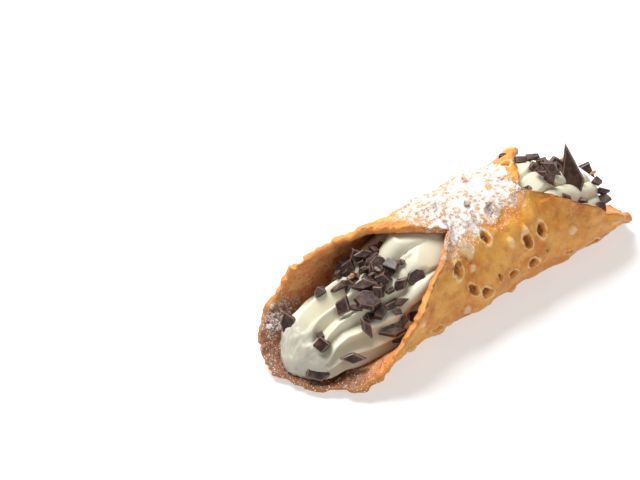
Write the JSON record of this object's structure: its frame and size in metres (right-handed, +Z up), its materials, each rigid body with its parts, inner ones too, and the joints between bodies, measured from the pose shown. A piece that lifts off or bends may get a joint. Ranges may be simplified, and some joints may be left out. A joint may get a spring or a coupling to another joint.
{
  "type": "cannolo",
  "caption": "Filled cannolo: a blistered fried pastry tube with oblique mouths, piped cream running through it, chopped dark chocolate and powdered sugar.",
  "frame": {"origin": "centre of the bounding box's bottom face, on the ground the pastry rests on", "axes": "+X along the tube from the wide, low front mouth to the back tongue; -Y is the side whose flap is cut back further at the front mouth; +Z up"},
  "size_m": [0.129, 0.0393, 0.0359],
  "materials": {
    "pastry": "matt fried crust, golden brown",
    "cream": "soft satin cream",
    "chocolate": "satin dark chocolate"
  },
  "bodies": {
    "root": {"shell": "pastry", "cream": "cream", "chip_lip_far": "chocolate", "chip_lip_block": "chocolate", "chip_lip_near": "chocolate", "chip_near_long": "chocolate", "chip_mouth_tile": "chocolate", "chip_almond": "chocolate", "chip_edge_on": "chocolate", "chip_near_plate": "chocolate", "chip_standing": "chocolate", "chip_round": "chocolate", "chip_chunk": "chocolate", "chip_far_tall": "chocolate", "chip_far_bar": "chocolate", "chip_near_wall": "chocolate", "shard": "chocolate", "chip_back_long": "chocolate", "chip_back_block": "chocolate", "chip_back_spike": "chocolate"}
  },
  "joints": []
}
